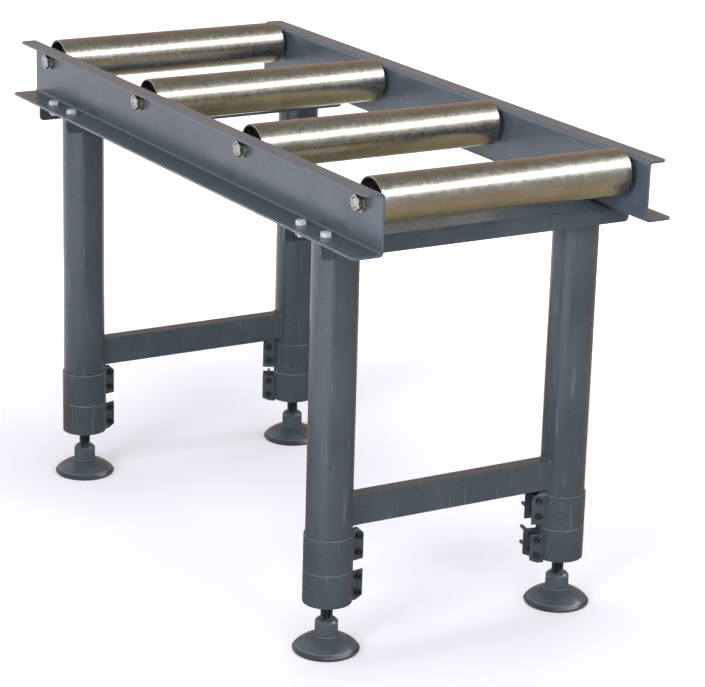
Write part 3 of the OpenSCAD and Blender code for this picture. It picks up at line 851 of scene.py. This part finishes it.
@dataclass
class LevellingFoot:
    """An inner leg with its foot screw and cast foot."""

    shop: Workshop
    leg: str
    rim_z: float = 3.5 * MM
    ridge_z: float = 8.4 * MM
    ridge_inset: float = 4 * MM
    draft: float = 2 * MM
    crown_r: float = 60 * MM
    crown_top_r: float = 16 * MM
    collar_h: float = 1.5 * MM
    neck_hole_r: float = 5.5 * MM
    neck_r: float = 4.5 * MM
    ball_r: float = 7 * MM
    ball_z: float = 11 * MM
    hex_gap: float = 0.3 * MM
    hex_h: float = 20 * MM
    hex_af: float = 30 * MM
    hex_top_r: float = 12.3 * MM
    hex_low_r: float = 14.7 * MM
    thread_r: float = 8 * MM
    pitch: float = 2 * MM
    # How far a shell of the screw reaches into the next
    overlap: float = 1 * MM
    # Width of the flat ring that the foot stands on, and depth of the straight part of the neck's hole
    sole_w: float = 14 * MM
    hole_h: float = 3 * MM
    socket_play: float = 0.06 * MM
    # The angle from the pole where the ball and its socket are closed by a flat
    pole: float = 0.05
    # Points round the foot and the hexagon, points round the screw, and rings in one turn of its thread
    columns: int = 96
    screw_columns: int = 32
    thread_rings: int = 8

    def foot(self, axis: Axis, rim_r: float, top: float) -> Skin:
        """Turns the foot.

        The profile runs over the flat bottom, up the rim to the ridge, along an arc over the crown, up the collar
        in a small fillet, into the hole of the screw's neck and round the ball's socket.

        Args:
            axis: the leg's axis
            rim_r: radius of the rim
            top: height of the collar
        Returns:
            the foot
        """
        crown_top = top - self.collar_h
        a, b = np.array([rim_r - self.ridge_inset, self.ridge_z]), np.array([self.crown_top_r, crown_top])
        chord = b - a
        depth = math.sqrt(self.crown_r ** 2 / (chord @ chord) - 0.25)
        middle = (a + b) / 2 + np.array([-chord[1], chord[0]]) * depth
        turn_a, turn_b = (math.atan2(*(p - middle)[::-1]) for p in (a, b))
        bend = np.linspace(turn_a, turn_b, 16)
        crown = middle + self.crown_r * np.stack([np.cos(bend), np.sin(bend)], -1)
        rim = rounded([(rim_r - self.sole_w, 0, 0), (rim_r - self.draft, 0, 0.8 * MM),
                       (rim_r, self.rim_z, 1.2 * MM), (a[0], a[1], 0.8 * MM), (crown[2][0], crown[2][1], 0)])
        neck = rounded([(crown[-2][0], crown[-2][1], 0), (self.crown_top_r, crown_top, 0.7 * MM),
                        (self.crown_top_r, top, 0.5 * MM), (self.neck_hole_r, top, 0.5 * MM),
                        (self.neck_hole_r, top - self.hole_h, 0)], 4)
        socket_r = self.ball_r + self.socket_play
        start = math.asin(min(1.0, self.neck_hole_r / socket_r))
        sweep = np.linspace(start, math.pi - self.pole, 14)
        socket = np.stack([socket_r * np.sin(sweep), self.ball_z + socket_r * np.cos(sweep)], -1)
        return axis.lathe(np.concatenate([rim, crown[3:-2], neck, socket]), self.columns)

    def spindle(self, axis: Axis, foot_top: float, top: float) -> list[Skin]:
        """Turns the foot screw: ball and neck, hexagon and thread.

        Args:
            axis: the leg's axis
            foot_top: height of the foot's crown
            top: height of the screw's end
        Returns:
            the three shells
        """
        hex_z = foot_top + self.hex_gap
        start = math.asin(self.neck_r / self.ball_r)
        sweep = np.linspace(math.pi - self.pole, start, 14)
        ball = np.stack([self.ball_r * np.sin(sweep), self.ball_z + self.ball_r * np.cos(sweep)], -1)
        neck = np.array([[self.neck_r, hex_z + self.overlap]])
        hex_top = hex_z + self.hex_h
        return [axis.lathe(np.concatenate([ball, neck]), self.screw_columns),
                axis.hexagon(self.hex_af, hex_z, hex_top, self.hex_top_r, self.hex_low_r, self.columns),
                axis.thread(self.thread_r, self.pitch, hex_top - self.overlap, top, self.screw_columns,
                            self.thread_rings, material=1)]

    def build(self) -> None:
        """Makes the foot and its screw and dresses the inner leg."""
        low, high = (np.array(c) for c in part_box(f"foot_{self.leg}"))
        axis = Axis(np.array([(low[0] + high[0]) / 2, (low[1] + high[1]) / 2, 0.0]), UP)
        rim_r = (high[0] - low[0]) / 2
        piece(f"foot_{self.leg}_cast", [self.foot(axis, rim_r, high[2])], [self.shop.cast], f"foot_{self.leg}",
              f"foot_{self.leg}")
        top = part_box(f"spindle_{self.leg}")[1][2]
        piece(f"spindle_{self.leg}_cut", self.spindle(axis, high[2], top), [self.shop.cast, self.shop.black],
              f"spindle_{self.leg}", f"spindle_{self.leg}")
        dress(f"inner_tube_{self.leg}", self.shop.tube)
        dress(f"thread_plug_{self.leg}", self.shop.tube)


@dataclass
class Card:
    """A reflector card of the studio: part of a sphere round the stand, seen only in reflections."""

    name: str
    low_colour: str
    high_colour: str
    azimuth: tuple[float, float]
    elevation: tuple[float, float]
    strength: float = 1.0
    radius: float = 7.0
    # Inner and outer radius of a card that lies flat just over the floor
    flat: tuple[float, float] | None = None
    over_floor: float = 4 * MM
    rows: int = 17
    columns: int = 33

    def grid(self) -> np.ndarray:
        """Finds the card's points.

        A point at azimuth a, turned from +Y towards +X, and elevation e is the radius times sin a cos e,
        cos a cos e and sin e. On a flat card it is r sin a and r cos a, just over the floor.

        Returns:
            rows of points by x, y, z
        """
        a = np.radians(np.linspace(*self.azimuth, self.columns))[None]
        if self.flat:
            r = np.linspace(*self.flat, self.rows)[:, None]
            return np.stack([r * np.sin(a), r * np.cos(a), self.over_floor + 0 * r * a], -1)
        e = np.radians(np.linspace(*self.elevation, self.rows))[:, None]
        return self.radius * np.stack([np.sin(a) * np.cos(e), np.cos(a) * np.cos(e), np.sin(e) + 0 * a], -1)

    def build(self) -> None:
        """Makes the card, whose colour blends from its low or inner to its high or outer edge."""
        n = self.columns
        i, j = np.meshgrid(np.arange(self.rows - 1), np.arange(n - 1), indexing="ij")
        at = i * n + j
        quads = np.stack([at, at + n, at + n + 1, at + 1], -1).reshape(-1, 4)
        mesh = bpy.data.meshes.new(self.name)
        mesh.from_pydata(self.grid().reshape(-1, 3).tolist(), [], quads.tolist())
        card = bpy.data.objects.new(self.name, mesh)
        bpy.context.scene.collection.objects.link(card)
        material = bpy.data.materials.new(self.name)
        material.use_nodes = True
        tree = material.node_tree
        tree.nodes.clear()
        place = add(tree, "TexCoord")
        if self.flat:
            away = add(tree, "VectorMath", {0: place.outputs["Object"]}, operation="LENGTH").outputs["Value"]
            ends = self.flat
        else:
            away = add(tree, "SeparateXYZ", {0: place.outputs["Object"]}).outputs["Z"]
            ends = tuple(self.radius * math.sin(math.radians(v)) for v in self.elevation)
        tone = blend(tree, remap(tree, away, ends), self.low_colour, self.high_colour)
        glow = add(tree, "Emission", {"Color": tone}, {"Strength": self.strength})
        add(tree, "OutputMaterial", {"Surface": glow.outputs[0]})
        mesh.materials.append(material)
        card.visible_camera = card.visible_diffuse = card.visible_transmission = card.visible_shadow = False


@dataclass
class Studio:
    """The pale floor, the soft lamps, the reflector cards and the camera."""

    rings: tuple[float, ...] = (12.0, 4.0, 2.0, 1.0, 0.4)
    columns: int = 96
    # The point that the lamps face
    middle: tuple[float, float, float] = (0.0, 0.0, 0.5)
    # Where the floor's own glow starts to rise, where it is full, and how strong it is nearer than that
    glow_span: tuple[float, float] = (0.7, 1.7)
    glow_near: float = 0.33
    # The photograph's width and height, its focal length and its optical centre, in pixels
    photo: tuple[int, int] = (705, 687)
    focal: float = 2695.1724667
    centre: tuple[float, float] = (335.62256, 383.49053)
    # The camera's azimuth, elevation and roll in degrees, and its place
    angles: tuple[float, float, float] = (30.22677, 18.239022, 1.492511)
    place: tuple[float, float, float] = (-1.774417, -3.11571, 1.406088)

    def floor(self) -> None:
        """Makes the white floor, a round sheet whose own glow rises with distance so that it meets the white."""
        angle = np.arange(self.columns) / self.columns * TURN
        ring = np.stack([np.cos(angle), np.sin(angle), 0 * angle], -1)
        sheet = skin(np.array(self.rings)[:, None, None] * ring)
        # The fan from the outermost ring is left out
        hub = len(sheet.points) - 1
        mesh = bpy.data.meshes.new("floor")
        mesh.from_pydata(sheet.points.tolist(), [], [f for f in sheet.faces if len(f) == 4 or hub in f])
        floor = bpy.data.objects.new("floor", mesh)
        bpy.context.scene.collection.objects.link(floor)
        material = bpy.data.materials.new("white_paper_floor")
        material.use_nodes = True
        tree = material.node_tree
        tree.nodes.clear()
        place = add(tree, "TexCoord")
        far = add(tree, "VectorMath", {0: place.outputs["Object"]}, operation="LENGTH")
        rise = remap(tree, far.outputs["Value"], self.glow_span, self.glow_near, interpolation_type="SMOOTHSTEP")
        path = add(tree, "LightPath")
        seen = add(tree, "Math", {0: path.outputs["Is Camera Ray"], 1: path.outputs["Is Glossy Ray"]},
                   operation="MAXIMUM")
        shown = add(tree, "Math", {0: rise, 1: seen.outputs[0]}, operation="MULTIPLY")
        paper = add(tree, "BsdfDiffuse", None, {"Color": linear("#e0dde7")})
        glow = add(tree, "Emission", {"Strength": shown.outputs[0]}, {"Color": linear("#ffffff")})
        both = add(tree, "AddShader", {0: paper.outputs[0], 1: glow.outputs[0]})
        add(tree, "OutputMaterial", {"Surface": both.outputs[0]})
        mesh.materials.append(material)

    def lamp(self, name: str, place: tuple[float, float, float], size: tuple[float, float], radiance: float,
             glossy: bool = False) -> None:
        """Hangs a white softbox that points at the stand's middle.

        Args:
            name: its name
            place: where its middle is
            size: width and height
            radiance: brightness of its face, which fixes its power: brightness times area times pi
            glossy: whether it shows in reflections
        """
        light = bpy.data.lights.new(name, "AREA")
        light.shape = "RECTANGLE"
        light.size, light.size_y = size
        light.energy = radiance * size[0] * size[1] * math.pi
        lamp = bpy.data.objects.new(name, light)
        bpy.context.scene.collection.objects.link(lamp)
        away = (Vector(place) - Vector(self.middle)).normalized()
        lamp.matrix_world = Matrix.Translation(Vector(place)) @ away.to_track_quat("Z", "Y").to_matrix().to_4x4()
        lamp.visible_camera = False
        lamp.visible_glossy = glossy

    def world(self) -> None:
        """Sets the background: white to the eye and in reflections, and a dim soft fill as light."""
        world = bpy.data.worlds.new("studio")
        bpy.context.scene.world = world
        world.use_nodes = True
        tree = world.node_tree
        tree.nodes.clear()
        path = add(tree, "LightPath")
        seen = add(tree, "Math", {0: path.outputs["Is Camera Ray"], 1: path.outputs["Is Glossy Ray"]},
                   operation="ADD")
        white = add(tree, "Math", {0: seen.outputs[0], 1: path.outputs["Is Transmission Ray"]}, operation="ADD",
                    use_clamp=True)
        fill = add(tree, "Background", None, {"Color": linear("#e9edf4"), "Strength": 0.3})
        plain = add(tree, "Background", None, {"Color": (1.0, 1.0, 1.0, 1.0), "Strength": 1.0})
        both = add(tree, "MixShader", {0: white.outputs[0], 1: fill.outputs[0], 2: plain.outputs[0]})
        add(tree, "OutputWorld", {"Surface": both.outputs[0]})

    def camera(self) -> None:
        """Sets the camera at the photograph's viewing angle, found from the stand's corners."""
        az, el, roll = (math.radians(v) for v in self.angles)
        ahead = Vector((math.sin(az) * math.cos(el), math.cos(az) * math.cos(el), -math.sin(el)))
        right = Vector((math.cos(az), -math.sin(az), 0))
        up = right.cross(ahead)
        across = math.cos(roll) * right + math.sin(roll) * up
        upright = math.cos(roll) * up - math.sin(roll) * right
        lens = bpy.data.cameras.new("camera")
        lens.sensor_width = 36
        width, height = self.photo
        lens.lens = self.focal * lens.sensor_width / width
        lens.shift_x = (width / 2 - self.centre[0]) / width
        lens.shift_y = (self.centre[1] - height / 2) / width
        camera = bpy.data.objects.new("camera", lens)
        bpy.context.scene.collection.objects.link(camera)
        turn = Matrix((across, upright, -ahead)).transposed().to_4x4()
        camera.matrix_world = Matrix.Translation(Vector(self.place)) @ turn
        bpy.context.scene.camera = camera

    def build(self) -> None:
        """Sets up the studio."""
        bpy.context.scene.view_settings.view_transform = "Standard"
        self.floor()
        self.world()
        self.camera()
        self.lamp("softbox_left", (-3.3, -1.9, 1.6), (1.4, 1.3), 14.0)
        self.lamp("softbox_above", (0.2, 0.3, 3.6), (2.2, 2.2), 4.4)
        self.lamp("softbox_front", (0.3, -4.0, 1.5), (1.8, 1.6), 6.0)
        self.lamp("softbox_high", (-1.6, -3.2, 2.8), (0.8, 0.8), 12.0, glossy=True)
        Card("card_right", "#ffffff", "#ffffff", (95, 190), (30, 46), 6.5).build()
        Card("card_right_high", "#dcdcd9", "#98968a", (95, 190), (46, 59), 1.2).build()
        Card("card_right_low", "#a3a5a4", "#c9cbca", (95, 190), (1, 30)).build()
        Card("card_behind_low", "#d6ab9c", "#b5a39a", (0, 95), (-3, 38)).build()
        Card("card_behind_high", "#b59a90", "#9a8a80", (0, 95), (38, 59)).build()
        Card("card_above", "#96958a", "#8f8e84", (-180, 180), (59, 90)).build()
        # The flat card under the stand is darkest at its middle: painted shade of the floor under the stand, seen
        # only in reflections
        Card("card_floor_under", "#66665b", "#bdae8e", (-180, 180), (0, 0), flat=(0.0, 0.9)).build()
        Card("card_floor_front", "#c9b49c", "#a9a9a2", (60, 215), (0, 0), flat=(0.9, 7.0)).build()


def main() -> None:
    """Builds the stand's sub-assemblies in order, then the studio."""
    logging.basicConfig(level=logging.INFO, format="%(name)s %(message)s")
    shop = Workshop()
    SideRails(shop).build()
    RollerSet(shop).build()
    Fasteners(shop).build()
    for end in ENDS:
        LegFrame(shop, end).build()
    for leg in LEGS:
        Clamp(shop, leg).build()
        LevellingFoot(shop, leg).build()
    dress("clamp_nuts", shop.black)
    Studio().build()


if __name__ == "__main__":
    main()
